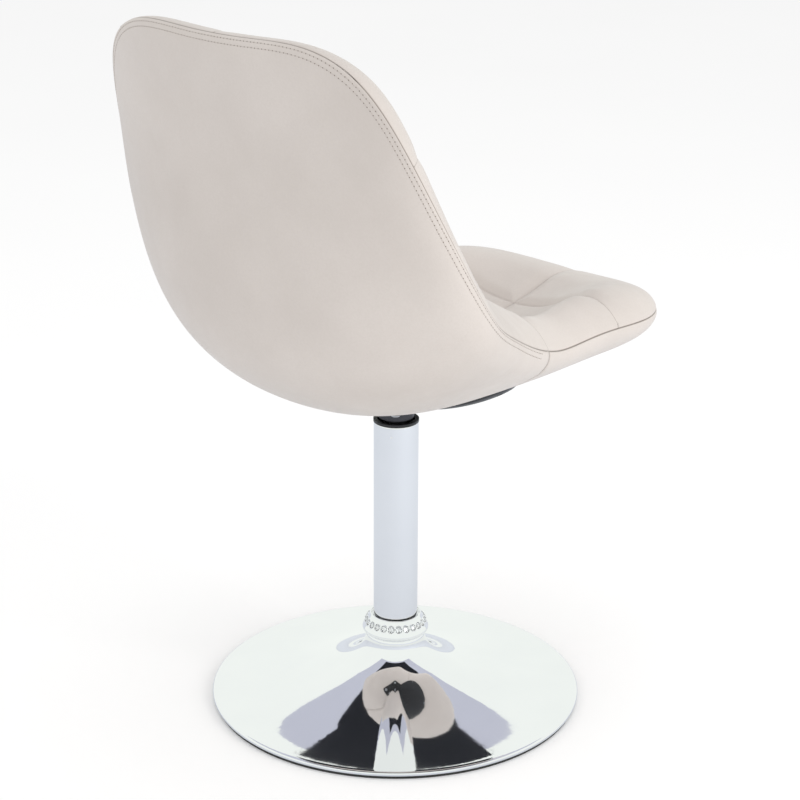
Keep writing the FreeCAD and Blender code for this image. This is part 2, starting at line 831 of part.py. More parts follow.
LEATHER = size("leather")
GAP = size("layer_gap")
WADDING_IN = LEATHER + GAP
WADDING_OUT = WADDING_IN + size("wadding")
BOARD_IN = WADDING_OUT + size("board_gap")
BOARD = size("plywood")
SCALE = (size("plywood_across"), size("plywood_along"))


# Upper face of the board, at a constant thickness over the lower one.
def board_top(across, along, full, board):
    return -(backing(along)[0] - BOARD_IN) * full + BOARD


# Lower face of the foam: on the board where there is one, then down to the wadding around its edge.
def foam_floor(across, along, full, board):
    fade = min(max((board - 1.06) / 0.05, 0.0), 1.0)
    step = 1 - fade * fade * (3 - 2 * fade)
    return -(backing(along)[0] - BOARD_IN) * full + (BOARD + size("board_gap")) * step


seam_share = row_share(MARKS[2])
split_share = row_share(MARKS[4])
outer_face = layer(under_back(0.0))
outer_lining = layer(under_back(LEATHER), LEATHER)
front_face = layer(under_front(0.0))
front_lining = layer(under_front(LEATHER), LEATHER)
wadding_low = layer(under_back(WADDING_IN, GAP / 2), WADDING_IN + GAP)
wadding_high = layer(under_back(WADDING_OUT, GAP), WADDING_OUT + GAP)
foam_low = layer(foam_floor, BOARD_IN)
foam_high = layer(under_front(WADDING_IN), WADDING_IN)
board_low = layer(under_back(BOARD_IN), 0.0, SCALE)
board_high = layer(board_top, 0.0, SCALE)

under_panel = sandwich(outer_face, outer_lining, 0.0, seam_share)
back_cover = sandwich(outer_face, outer_lining, seam_share, 1.0)
quilted_cover = sandwich(front_face, front_lining)
wadding = sandwich(wadding_low, wadding_high)
seat_foam = sandwich(foam_low, foam_high, 0.0, split_share)
back_foam = sandwich(foam_low, foam_high, split_share, 1.0)
board = sandwich(board_low, board_high)


# Lowest and highest point of a solid on an upright line.
def span(solid, x, y):
    found = solid.common(Part.makeLine(V(x, y, 0), V(x, y, 1500)))
    return found.BoundBox.ZMin, found.BoundBox.ZMax


# T-nuts: the flange sits in a counterbore just under the board's upper face
nut_levels = []
for x, y in bolt_places():
    ring_of_spots = [(x, y)]
    for i in range(8):
        angle = math.pi * i / 4
        reach = size("nut_flange_radius")
        ring_of_spots.append((x + reach * math.cos(angle), y + reach * math.sin(angle)))
    nut_levels.append(min(span(board, *spot)[1] for spot in ring_of_spots) - 0.2)

nuts = []
counterbores = []
bolts = []
springs = []
flats = []
for (x, y), level in zip(bolt_places(), nut_levels):
    flange = Part.makeCylinder(size("nut_flange_radius"), size("nut_flange"),
                               V(x, y, level - size("nut_flange")))
    barrel = Part.makeCylinder(size("nut_barrel_radius"), size("nut_barrel"),
                               V(x, y, level - size("nut_barrel")))
    thread = Part.makeCylinder(size("bolt_radius"), 100, V(x, y, level - 50))
    nuts.append(flange.fuse(barrel).removeSplitter().cut(thread))
    counterbores.append(Part.makeCylinder(size("nut_flange_radius"), 40,
                                          V(x, y, level - size("nut_flange"))))
    counterbores.append(Part.makeCylinder(size("nut_barrel_radius"), 100, V(x, y, level - 50)))
    head = Part.makeCylinder(size("bolt_head_radius"), size("bolt_head"), V(x, y, size("bolt_bottom")))
    head = head.makeFillet(size("bolt_head") * 0.4, [head.Edges[2]])
    shank_length = level - 0.5 - size("spring_washer_bottom")
    stem = Part.makeCylinder(size("bolt_radius"), shank_length, V(x, y, size("spring_washer_bottom")))
    bolts.append(head.fuse(stem).removeSplitter())
    hole = Part.makeCylinder(size("bolt_radius") + size("bolt_hole_gap"), 60, V(x, y, seat_level - 30))
    springs.append(Part.makeCylinder(size("spring_washer_radius"), size("spring_washer"),
                                     V(x, y, size("spring_washer_bottom"))).cut(hole))
    flats.append(Part.makeCylinder(size("flat_washer_radius"), size("flat_washer"),
                                   V(x, y, size("flat_washer_bottom"))).cut(hole))
piece(shaped("bolt_shape", Part.makeCompound(bolts)), "plate_bolts")
piece(shaped("spring_shape", Part.makeCompound(springs)), "spring_washers")
piece(shaped("flat_shape", Part.makeCompound(flats)), "flat_washers")
piece(shaped("nut_shape", Part.makeCompound(nuts)), "t_nuts")

# Packing block between the flat plate and the curved board
block_side = size("seat_plate_side")
block = rounded_block(block_side, size("seat_plate_corner"), seat_level, seat_level + 60)
block = block.cut(board)
block = [solid for solid in block.Solids if solid.BoundBox.ZMin < seat_level + 1][0]
block = block.cut(at_bolts(size("bolt_radius") + size("bolt_hole_gap"), seat_level - 1,
                           seat_level + 40))
piece(shaped("block_shape", block), "seat_block")


# Height of the outer face over a spot of the floor, found by Newton steps on the grid.
def underside(x, y):
    def at(p, q):
        across, along = shares(*disc_place(p, q))
        point, normal = seam_surface(across, along)
        return point - normal * backing(along)[0] * fullness(math.hypot(*disc_place(p, q)))

    p = x / size("half_across")
    q = y / size("half_along") - 0.35
    for _ in range(8):
        here = at(p, q)
        beside = (at(p + 1e-4, q) - here) * 1e4
        ahead = (at(p, q + 1e-4) - here) * 1e4
        determinant = beside.x * ahead.y - beside.y * ahead.x
        error_x = x - here.x
        error_y = y - here.y
        p += (error_x * ahead.y - error_y * ahead.x) / determinant
        q += (error_y * beside.x - error_x * beside.y) / determinant
    return at(p, q).z


# Moulded cover: an oval dish below the front of the seat, hollow, open around the hub
def dish(share, thickness, depth):
    points = []
    for i in range(25):
        line = []
        for j in range(25):
            x, y = disc_place(math.sin(math.radians(7.5 * i - 90)), math.sin(math.radians(7.5 * j - 90)))
            radius = math.hypot(x, y) / share
            bulge = depth * math.sqrt(max(0.0, 1 - radius * radius))
            place_x = x * size("cover_half_width")
            place_y = y * size("cover_half_length") - size("cover_centre")
            line.append(V(place_x, place_y, underside(place_x, place_y) - GAP - thickness - bulge))
        points.append(line)
    return points


cover_low = dish(1.0, size("screw_seat"), size("cover_depth"))
cover_high = dish(size("cover_inner_share"), 0.0,
                  size("cover_depth") - size("cover_wall") + size("screw_seat"))
cover = sandwich(cover_low, cover_high)
hub_hole = Part.makeCylinder(size("hub_radius") + size("cover_hub_gap"), 200, V(0, 0, hub_top - 100))
plate_room = rounded_block(block_side + 2, size("seat_plate_corner") + 1, hub_top - 0.3, seat_level + 60)
cover = cover.cut([hub_hole, plate_room])

# Three screws through the cover's rim into the board
rim = (1 + size("cover_inner_share")) / 2
screw_spots = [(rim * size("cover_half_width"), -size("cover_centre")),
               (-rim * size("cover_half_width"), -size("cover_centre")),
               (0.0, -size("cover_centre") - rim * size("cover_half_length"))]
screws = []
screw_holes = []
screw_bores = []
screw_rooms = []
for x, y in screw_spots:
    seat_height = span(cover, x, y)[1] - size("screw_seat")
    tip = span(board, x, y)[0] + size("screw_bite")
    screw_head = Part.makeCylinder(size("screw_head_radius"), size("screw_head"),
                                   V(x, y, seat_height - size("screw_head")))
    screw_stem = Part.makeCylinder(size("screw_radius"), tip - seat_height, V(x, y, seat_height))
    screws.append(screw_head.fuse(screw_stem).removeSplitter())
    screw_bores.append(Part.makeCylinder(size("screw_radius"), tip - seat_height + 10,
                                         V(x, y, seat_height - 10)))
    screw_rooms.append(Part.makeCylinder(size("screw_radius") + size("bolt_hole_gap"),
                                         tip - seat_height + 20, V(x, y, seat_height - 10)))
    screw_holes.append(Part.makeCylinder(size("screw_head_radius") + 0.2, 40, V(x, y, seat_height - 40)))
cover = cover.cut(screw_holes + screw_rooms)
cover = sorted(cover.Solids, key=lambda solid: solid.Volume)[-1]
piece(shaped("cover_shape", cover), "underseat_cover")
piece(shaped("screw_shape", Part.makeCompound(screws)), "cover_screws")

# Shell layers, opened at the plate and at the screws
opening = rounded_block(block_side + 2 * size("opening_gap"), size("seat_plate_corner"),
                        hub_top - 30, seat_level + 70)
board = board.cut(counterbores + screw_bores)
piece(shaped("board_shape", board), "seat_shell")
piece(shaped("wadding_shape", wadding.cut([opening] + screw_rooms)), "wadding")
piece(shaped("seat_foam_shape", seat_foam), "seat_foam")
piece(shaped("back_foam_shape", back_foam), "back_foam")
piece(shaped("under_panel_shape", under_panel.cut([opening] + screw_rooms)), "under_panel")
piece(shaped("back_cover_shape", back_cover.cut([opening] + screw_rooms)), "back_cover")
piece(shaped("quilted_cover_shape", quilted_cover), "quilted_cover")

# Check every feature, then write one file for each piece
doc.recompute()
for feature in doc.Objects:
    if any(word in ("Invalid", "Error") for word in feature.State):
        raise RuntimeError("feature in error: " + feature.Name)
for feature in PIECES:
    shape = feature.Shape
    if shape.isNull() or not shape.isValid() or not shape.Solids:
        raise RuntimeError("bad shape: " + feature.Label)
    for solid in shape.Solids:
        if solid.Volume <= 0:
            raise RuntimeError("empty solid: " + feature.Label)
    shape.exportStep("parts/" + feature.Label + ".step")
    print(feature.Label, len(shape.Solids), round(shape.Volume))
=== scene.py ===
# %% [markdown]
# # A quilted swivel dining chair
# The chair is a padded bucket in light leather on a chromed trumpet foot. Its steel and plywood
# parts come from the CAD model. The leather, the chrome and the seams are made here, each as a
# surface worked out with array mathematics, in the same place as the CAD says.

# %% Load the CAD frame
import bpy
import math
import numpy as np
from mathutils import Matrix, Vector


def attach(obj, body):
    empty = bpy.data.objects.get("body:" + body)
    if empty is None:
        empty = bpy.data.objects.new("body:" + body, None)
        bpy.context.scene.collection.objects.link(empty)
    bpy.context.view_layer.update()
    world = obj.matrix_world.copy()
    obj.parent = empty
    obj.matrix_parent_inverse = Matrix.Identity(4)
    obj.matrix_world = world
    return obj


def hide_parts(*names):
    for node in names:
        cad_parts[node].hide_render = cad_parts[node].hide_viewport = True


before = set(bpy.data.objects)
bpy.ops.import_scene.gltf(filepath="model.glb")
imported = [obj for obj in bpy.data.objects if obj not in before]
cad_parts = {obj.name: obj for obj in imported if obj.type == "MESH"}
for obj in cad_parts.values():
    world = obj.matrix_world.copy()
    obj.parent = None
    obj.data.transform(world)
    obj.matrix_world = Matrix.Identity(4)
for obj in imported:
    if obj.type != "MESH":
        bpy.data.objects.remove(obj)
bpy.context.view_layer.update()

# %% [markdown]
# ## From arrays to a mesh
# Every new piece is a grid of points. A mesh could be filled point by point, but that is slow for
# thousands of points, so whole arrays go in with foreach_set. The corners of the faces are worked
# out from the numbers of the rows and columns.

# %% Make a mesh from arrays


def grid_faces(rows, columns, wrap_rows=False, wrap_columns=False):
    """Four corners for each cell of a grid: a point, its right neighbour, the one above that, and
    the one above the point. A wrapped grid joins its last row or column to its first."""
    row = np.arange(rows if wrap_rows else rows - 1)
    column = np.arange(columns if wrap_columns else columns - 1)
    r, c = np.meshgrid(row, column, indexing="ij")
    up, right = (r + 1) % rows, (c + 1) % columns
    corners = np.stack([r * columns + c, r * columns + right, up * columns + right,
                        up * columns + c], -1)
    return corners.reshape(-1, 4)


def make_piece(name, points, faces, finish, body, values=None):
    """An object from points in millimetres and a list of face arrays. The values become point
    attributes that a finish can read."""
    mesh = bpy.data.meshes.new(name)
    mesh.vertices.add(len(points))
    mesh.vertices.foreach_set("co", (points / 1000).astype(np.float32).ravel())
    corners = np.concatenate([f.ravel() for f in faces]).astype(np.int32)
    counts = np.concatenate([np.full(len(f), f.shape[1]) for f in faces])
    mesh.loops.add(len(corners))
    mesh.loops.foreach_set("vertex_index", corners)
    mesh.polygons.add(len(counts))
    starts = np.concatenate([[0], np.cumsum(counts)[:-1]]).astype(np.int32)
    mesh.polygons.foreach_set("loop_start", starts)
    mesh.polygons.foreach_set("use_smooth", np.ones(len(counts), bool))
    for title, numbers in (values or {}).items():
        layer = mesh.attributes.new(title, "FLOAT", "POINT")
        layer.data.foreach_set("value", numbers.astype(np.float32).ravel())
    mesh.update(calc_edges=True)
    mesh.validate()
    mesh.materials.append(finish)
    piece = bpy.data.objects.new(name, mesh)
    bpy.context.scene.collection.objects.link(piece)
    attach(piece, body)
    return piece


print("helpers ready")

# %% [markdown]
# ## Node helper for the finishes
# A finish is a small node tree. Wiring nodes by hand is long, so one helper adds a node, sets its
# inputs and links what is a socket. All patterns read Object coordinates or a point attribute, so
# they stay on the piece when it turns.

# %% Wire nodes with one call


def new_finish(name):
    """A new material, its node tree and its shader; the tree holds no more than these need."""
    finish = bpy.data.materials.new(name)
    finish.use_nodes = True
    return finish, finish.node_tree, finish.node_tree.nodes["Principled BSDF"]


def node(tree, kind, links=None, **settings):
    """Add a node; settings are its properties, and links fill its inputs by name or number."""
    made = tree.nodes.new(kind)
    for key, value in settings.items():
        setattr(made, key, value)
    for key, value in (links or {}).items():
        if isinstance(value, bpy.types.NodeSocket):
            tree.links.new(value, made.inputs[key])
        else:
            made.inputs[key].default_value = value
    return made


def noise(tree, scale, detail=3.0, rough=0.5):
    """Noise in Object coordinates; the scale is in lumps for each metre."""
    place = node(tree, "ShaderNodeTexCoord")
    return node(tree, "ShaderNodeTexNoise", {"Vector": place.outputs["Object"], "Scale": scale,
                                             "Detail": detail, "Roughness": rough})


def spread(tree, value, low, high, first=0.0, last=1.0):
    """Map a value from one range to another, held at both ends."""
    return node(tree, "ShaderNodeMapRange", {"Value": value, "From Min": low, "From Max": high,
                                             "To Min": first, "To Max": last}).outputs["Result"]


def blend_colours(tree, share, first, last):
    """Mix two colours or colour sockets by a share."""
    mix = node(tree, "ShaderNodeMix", data_type="RGBA")
    for index, value in ((0, share), (6, first), (7, last)):
        if isinstance(value, bpy.types.NodeSocket):
            tree.links.new(value, mix.inputs[index])
        else:
            mix.inputs[index].default_value = value
    return mix.outputs[2]


print("node helpers ready")

# %% [markdown]
# ## Leather
# The cover is light greige artificial leather with a soft shine. Its detail has three sizes: broad
# unevenness of tone, the fine grain of about a millimetre, and creases where it is stitched. The
# grain is a Voronoi pattern as bump. Painted shade darkens the seams and creases: it reads the
# attribute seam_mm, the distance to the nearest seam, because a pattern in space wouldn't follow
# the sewing.

# %% Leather finish


def leather_finish(name, seam_shade):
    """Greige leather: tone from slow noise, grain from Voronoi cells, and painted shade along the
    seams and the creases."""
    finish, tree, shader = new_finish(name)
    tone = noise(tree, 9.0, 4.0)
    base = blend_colours(tree, spread(tree, tone.outputs["Fac"], 0.3, 0.7),
                         (0.605, 0.553, 0.517, 1), (0.665, 0.612, 0.575, 1))
    speck = noise(tree, 420.0, 2.0)
    base = blend_colours(tree, spread(tree, speck.outputs["Fac"], 0.35, 0.75, 0.0, 0.16), base,
                         (0.52, 0.465, 0.42, 1))
    # Painted shade at the seams and creases: close to them the base colour is mixed towards a dark
    # brown.
    seam = node(tree, "ShaderNodeAttribute", attribute_name="seam_mm")
    painted_seam_shade = spread(tree, seam.outputs["Fac"], 0.3, 1.1, seam_shade, 0.0)
    base = blend_colours(tree, painted_seam_shade, base, (0.16, 0.125, 0.10, 1))
    tree.links.new(base, shader.inputs["Base Color"])
    place = node(tree, "ShaderNodeTexCoord")
    cells = node(tree, "ShaderNodeTexVoronoi", {"Vector": place.outputs["Object"], "Scale": 900.0},
                 feature="SMOOTH_F1")
    fine = node(tree, "ShaderNodeBump", {"Height": cells.outputs["Distance"], "Strength": 0.10,
                                         "Distance": 0.0006})
    soft = noise(tree, 26.0, 3.0)
    dents = node(tree, "ShaderNodeBump", {"Height": soft.outputs["Fac"], "Strength": 0.16,
                                          "Distance": 0.004, "Normal": fine.outputs["Normal"]})
    tree.links.new(dents.outputs["Normal"], shader.inputs["Normal"])
    gloss = noise(tree, 60.0, 2.0)
    tree.links.new(spread(tree, gloss.outputs["Fac"], 0.3, 0.7, 0.40, 0.52),
                   shader.inputs["Roughness"])
    shader.inputs["Specular IOR Level"].default_value = 0.45
    shader.inputs["Sheen Weight"].default_value = 0.08
    return finish


leather = leather_finish("greige_leather_sewn", 0.7)
print("made", leather.name)

# %% [markdown]
# ## Chrome, black plastic and the finishes inside
# Chrome is a metal with a near mirror surface; a trace of haze and fine waviness keep it from
# looking like a computer mirror. The black pieces have a fine moulded or painted grain. The inner
# steel is rolled or turned, so its scratches are drawn out along one axis.

# %% Hard finishes


def chrome_finish(name):
    """Bright plating: mirror metal with faint haze patches and a very slight orange peel."""
    finish, tree, shader = new_finish(name)
    shader.inputs["Metallic"].default_value = 1.0
    haze = noise(tree, 14.0, 4.0)
    tree.links.new(spread(tree, haze.outputs["Fac"], 0.35, 0.75, 0.025, 0.06),
                   shader.inputs["Roughness"])
    tint = blend_colours(tree, haze.outputs["Fac"], (0.86, 0.865, 0.88, 1), (0.92, 0.92, 0.925, 1))
    tree.links.new(tint, shader.inputs["Base Color"])
    peel = noise(tree, 55.0, 2.0)
    bump = node(tree, "ShaderNodeBump", {"Height": peel.outputs["Fac"], "Strength": 0.02,
                                         "Distance": 0.002})
    tree.links.new(bump.outputs["Normal"], shader.inputs["Normal"])
    return finish


def grained_finish(name, low, high, rough, scale, bump_height, metallic=0.0, stretch=(1, 1, 1)):
    """A plain finish with two tones, uneven gloss and a grain whose noise may be stretched."""
    finish, tree, shader = new_finish(name)
    shader.inputs["Metallic"].default_value = metallic
    place = node(tree, "ShaderNodeTexCoord")
    drawn = node(tree, "ShaderNodeMapping", {"Vector": place.outputs["Object"], "Scale": stretch})
    grain = node(tree, "ShaderNodeTexNoise", {"Vector": drawn.outputs["Vector"], "Scale": scale,
                                              "Detail": 5.0, "Roughness": 0.6})
    share = spread(tree, grain.outputs["Fac"], 0.3, 0.7)
    tree.links.new(blend_colours(tree, share, (*low, 1), (*high, 1)), shader.inputs["Base Color"])
    tree.links.new(spread(tree, grain.outputs["Fac"], 0.3, 0.7, rough - 0.06, rough + 0.08),
                   shader.inputs["Roughness"])
    bump = node(tree, "ShaderNodeBump", {"Height": grain.outputs["Fac"], "Strength": 0.3,
                                         "Distance": bump_height})
    tree.links.new(bump.outputs["Normal"], shader.inputs["Normal"])
    return finish


def stone_finish(name):
    """Clear cut glass with a faint change of tint from stone to stone."""
    finish, tree, shader = new_finish(name)
    shader.inputs["Transmission Weight"].default_value = 0.85
    shader.inputs["IOR"].default_value = 1.62
    shader.inputs["Roughness"].default_value = 0.01
    tint = noise(tree, 90.0, 1.0)
    tree.links.new(blend_colours(tree, tint.outputs["Fac"], (0.90, 0.93, 0.97, 1),
                                 (1.0, 0.99, 0.97, 1)), shader.inputs["Base Color"])
    return finish


chrome = chrome_finish("bright_chrome")
stones = stone_finish("cut_stones")
black_plastic = grained_finish("moulded_black", (0.012, 0.012, 0.013), (0.022, 0.022, 0.024),
                               0.42, 700.0, 0.0003)
black_steel = grained_finish("black_painted_steel", (0.018, 0.018, 0.019), (0.03, 0.03, 0.032),
                             0.5, 380.0, 0.0004)
rubber = grained_finish("floor_rubber_black", (0.02, 0.02, 0.02), (0.035, 0.034, 0.033),
                        0.72, 500.0, 0.0004)
turned_steel = grained_finish("turned_steel", (0.42, 0.42, 0.43), (0.6, 0.6, 0.61), 0.32, 260.0,
                              0.0002, 1.0, (1, 1, 14))
dark_spindle = grained_finish("dark_spindle_steel", (0.05, 0.05, 0.055), (0.09, 0.09, 0.1), 0.34, 260.0,
                              0.0002, 0.8, (1, 1, 14))
beech_ply = grained_finish("beech_plywood", (0.42, 0.27, 0.15), (0.62, 0.45, 0.28), 0.55, 60.0,
                           0.0004, 0.0, (1, 9, 1))
foam = grained_finish("foam", (0.7, 0.66, 0.5), (0.8, 0.77, 0.62), 0.9, 900.0, 0.001)
fleece = grained_finish("fleece", (0.75, 0.75, 0.74), (0.85, 0.85, 0.84), 0.95, 300.0, 0.002)
print("hard finishes:", [m.name for m in (chrome, stones, black_plastic, rubber, turned_steel)])

# %% [markdown]
# ## Finishes for the CAD pieces
# Each CAD piece comes with a slot that names its kind of surface. A table from slot names to
# finishes dresses them all in one loop. Blender adds a number to a repeated name, so only the
# part before the dot counts.

# %% Give every CAD piece its finish
slot_finish = {"chrome": chrome, "crystal": stones, "floor_rubber": rubber,
               "black_steel": black_steel, "bare_steel": turned_steel,
               "black_plastic": black_plastic, "greige_leather": leather, "plywood": beech_ply,
               "foam": foam, "wadding": fleece}
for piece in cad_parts.values():
    for slot in piece.material_slots:
        slot.material = slot_finish[slot.material.name.split(".")[0]]
# The spindle and the hub, in the recess under the seat, get a near-black steel in place of their
# CAD finish.
for title in ("swivel_spindle", "plate_hub"):
    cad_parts[title].material_slots[0].material = dark_spindle
print("finished", len(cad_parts), "CAD pieces")

# %% [markdown]
# ## The bucket's curves
# The bucket is drawn by seven stations along its middle line, from the front edge under the knees
# to the top of the back. Each gives the middle line, the half width, the height of the seam at the
# sides and the thickness on both sides. A natural spline joins them smoothly, as the bent plywood
# does. Moulding by hand or sculpting would lose the sizes that the CAD model has.

# %% Smooth curves through the stations


def natural_spline(knots, values, at):
    """A curve of cubic pieces through the values whose bending is zero at both ends: the bending at
    the knots is solved from one set of equations, and each piece follows from its ends."""
    gap = np.diff(knots)
    count = len(knots)
    matrix = np.eye(count)
    right = np.zeros((count, values.shape[1]))
    for i in range(1, count - 1):
        matrix[i, i - 1:i + 2] = gap[i - 1], 2 * (gap[i - 1] + gap[i]), gap[i]
        right[i] = 6 * ((values[i + 1] - values[i]) / gap[i]
                        - (values[i] - values[i - 1]) / gap[i - 1])
    bend = np.linalg.solve(matrix, right)
    i = np.clip(np.searchsorted(knots, at, side="right") - 1, 0, count - 2)
    h = gap[i][..., None]
    a = (knots[i + 1] - at)[..., None] / h
    b = 1 - a
    return (a * values[i] + b * values[i + 1]
            + ((a ** 3 - a) * bend[i] + (b ** 3 - b) * bend[i + 1]) * h * h / 6)


seat_level = 361.0
station_share = np.array([0, 0.12, 0.25, 0.40, 0.55, 0.75, 1.0])
stations = np.array([  # middle y, middle rise, half width, seam y, seam rise, padding, backing
    [-306, 77, 193, -290, 78, 37, 31],
    [-216, 23, 179, -161, 85, 55, 17],
    [-90, 15, 181, -66, 80, 49, 15],
    [65, 22, 218, 45, 125, 74, 20],
    [202, 92, 247, 118, 178, 70, 20],
    [235, 255, 225, 195, 326, 53, 5],
    [246, 427, 183, 231, 442, 40, 9]], float)
print("bucket from", seat_level + stations[:, 1].min(), "to",
      seat_level + stations[:, 4].max(), "mm")

# %% [markdown]
# ## The surface through the seam
# Every point of the bucket has a share across and a share along. Both come from a place on a
# disc, because a disc has one smooth border, and that border is the seam. The faces lie on both
# sides of this surface, as far off as the padding is thick, and meet in a rounded rim.

# %% The surface through the seam
side_power = 2.1
rim_start, rim_width = 0.89, 0.11


def shares(x, y):
    """Share across and share along for a place on the unit disc. The disc is drawn out at its four
    corners by a fifth-power norm, growing with the square of the distance from the middle."""
    r = np.hypot(x, y)
    safe = np.maximum(r, 1e-9)
    draw = ((np.abs(x) / safe) ** 5 + (np.abs(y) / safe) ** 5) ** -0.2
    draw = 1 + (draw - 1) * r ** 2
    return x * draw, np.clip(0.5 + 0.5 * y * draw, 0, 1)


def middle(across, along):
    """The surface in which the seam lies: the middle line at across 0 blends into the side seam
    line at across 1 with a power of the share across."""
    s = natural_spline(station_share, stations, along)
    mix = np.abs(across) ** side_power
    return np.stack([s[..., 2] * across, s[..., 0] + (s[..., 3] - s[..., 0]) * mix,
                     seat_level + s[..., 1] + (s[..., 4] - s[..., 1]) * mix], -1)


def facing(across, along):
    """Unit normal towards the sitter: the cross product of the slopes across and along."""
    step = 1e-4
    u = middle(across + step, along) - middle(across - step, along)
    low, high = np.clip(along - step, 0, 1), np.clip(along + step, 0, 1)
    v = middle(across, high) - middle(across, low)
    n = np.cross(u, v)
    return n / np.linalg.norm(n, axis=-1, keepdims=True)


def fullness(r):
    """One inside, and a quarter ellipse down to zero over the last ninth of the radius."""
    w = np.clip((r - rim_start) / rim_width, 0, 1)
    return np.sqrt(1 - w * w)


def thickness(along):
    """Padding on the sitter's side and backing on the other side, in millimetres."""
    s = natural_spline(station_share, stations, along)
    return s[..., 5], s[..., 6]


print("middle of the back:", np.round(middle(np.array(0.0), np.array(0.75)), 1))

# %% [markdown]
# ## Quilting
# One crease runs down the middle and five run across. On the real cover they are sewn through the
# foam, so the leather dives in over some millimetres and has a sharp line at the bottom. A bell
# curve gives the broad fall and a pointed curve gives the sharp line. A bump texture couldn't
# change the outline, and the outline shows the creases.

# %% Crease depth
crease_share = np.array([0.142, 0.303, 0.45, 0.585, 0.75])
crease_bow = np.array([-0.035, -0.018, 0, 0, 0])
half_width, middle_length = 190, 1040  # of the bucket, in millimetres
broad_depth, broad_reach = 4.9, 13
sharp_depth, sharp_reach = 2.6, 1.4


def crease_distance(across, along):
    """Distance in millimetres to the middle crease and to the nearest one across."""
    lines = crease_share + crease_bow * across[..., None] ** 2
    return (np.abs(across) * half_width,
            np.abs(along[..., None] - lines).min(-1) * middle_length)


def crease_depth(across, along):
    """The deeper of two bell curves plus the deeper of two narrow pointed grooves."""
    side, cross = crease_distance(across, along)
    broad = np.maximum(np.exp(-(side / broad_reach) ** 2), np.exp(-(cross / broad_reach) ** 2))
    sharp = np.maximum(np.exp(-side / sharp_reach), np.exp(-cross / sharp_reach))
    return broad_depth * broad + sharp_depth * sharp


def sitter_face(x, y):
    """Outer face on the sitter's side for places on the disc."""
    across, along = shares(x, y)
    full = fullness(np.hypot(x, y))
    height = (thickness(along)[0] - crease_depth(across, along)) * full
    return middle(across, along) + facing(across, along) * height[..., None]


def rear_face(x, y):
    """Outer face on the back and the underside for places on the disc."""
    across, along = shares(x, y)
    full = fullness(np.hypot(x, y))
    height = -thickness(along)[1] * full
    return middle(across, along) + facing(across, along) * height[..., None]


print("crease depths 0, 5 and 20 mm off:",
      np.round(crease_depth(np.array([0, 5, 20]) / half_width, np.full(3, 0.9)), 2))

# %% [markdown]
# ## Rows and columns that follow the sewing
# A square grid is bent onto the disc with the elliptical mapping, so the border of the grid is the
# seam and no pole is left in the middle. Rows are placed so that one lies in each crease, closer
# together near it, because a sharp line between two rows would be lost.

# %% Grid places


def on_disc(p, q):
    """Square to disc: x is p times the root of 1 - q*q/2, and y is q times the root of
    1 - p*p/2."""
    return p * np.sqrt(1 - q * q / 2), q * np.sqrt(1 - p * p / 2)


def rim_part(t, split):
    """Zero up to the split, then a quick start and a slow end up to one."""
    return 1 - (1 - np.clip((t - split) / (1 - split), 0, 1)) ** 1.6


def rim_spacing(count, middle_share):
    """Numbers from -1 to 1: even in the middle, and like a sine over the rounded rim."""
    s = np.linspace(-1, 1, count)
    t = rim_part(np.abs(s), middle_share)
    inner = np.clip(np.abs(s) / middle_share, 0, 1)
    inner = rim_start * (0.35 * inner ** 2 + 0.65 * inner)
    return np.sign(s) * np.where(t > 0, rim_start + rim_width * np.sin(t * np.pi / 2), inner)


def crease_rows(p, line):
    """For each column, the q at which the share along equals a crease line, by halving."""
    low, high = np.full_like(p, -0.995), np.full_like(p, 0.995)
    for _ in range(40):
        q = (low + high) / 2
        across, along = shares(*on_disc(p, q))
        under = along < crease_share[line] + crease_bow[line] * across ** 2
        low, high = np.where(under, q, low), np.where(under, high, q)
    return (low + high) / 2


columns = rim_spacing(181, 0.72)
crease_q = [crease_rows(columns, line) for line in range(len(crease_share))]
print("creases cross the middle column at", [round(float(q[len(q) // 2]), 3) for q in crease_q])

# %% [markdown]
# ## Rows of the quilted front
# The rows run in blocks, from the front edge to the first crease, from crease to crease, and
# from the last crease to the top. Each block leaves out its last row, because the next block
# starts with it. The steps are small near a crease and on the rim, and wide between them.

# %% Rows from crease to crease
even_reach, bent_reach = 0.90, 0.10  # where the rounded rim starts on the square, and its width


def segment_rows(low, high, count):
    """Rows between two creases: a mix of even and cosine spacing, closer next to the creases."""
    t = np.linspace(0, 1, count)
    t = 0.3 * t + 0.7 * (1 - np.cos(np.pi * t)) / 2
    return low[:, None] + (high - low)[:, None] * t


def rim_rows(start, edge, count):
    """Rows from a crease out to the seam: the last part follows the rounded rim like a sine."""
    t = np.linspace(0, 1, count)
    split = 0.45
    rim = even_reach + bent_reach * np.sin(rim_part(t, split) * np.pi / 2)
    inner = np.clip(t / split, 0, 1) ** 1.15
    return np.where(t < split, start[:, None] + (edge * even_reach - start[:, None]) * inner,
                    edge * rim)


blocks = [rim_rows(crease_q[0], -1.0, 70)[:, ::-1][:, :-1]]
for index, count in ((0, 62), (1, 56), (2, 52), (3, 56)):
    blocks.append(segment_rows(crease_q[index], crease_q[index + 1], count)[:, :-1])
blocks.append(rim_rows(crease_q[4], 1.0, 100))
q_grid = np.concatenate(blocks, 1)
p_grid = np.repeat(columns[:, None], q_grid.shape[1], 1)
x_grid, y_grid = on_disc(p_grid, q_grid)
print("quilted grid:", q_grid.shape)

# %% [markdown]
# ## A closed pad
# The front grid is one open sheet. A pad has to be closed, so rings of points run inwards from
# its border along the seam surface, and a fan of triangles closes the last ring. They lie
# inside the bucket where nobody sees them. At the seam the leather is drawn in a little, as
# thread does.

# %% Join the front to its back at the seam
seam_sink, seam_reach = 1.7, 0.9
ring_shares = (0.985, 0.9, 0.7, 0.4, 0.15)
far_mm = 50.0  # the seam distance of points that get no painted seam shade
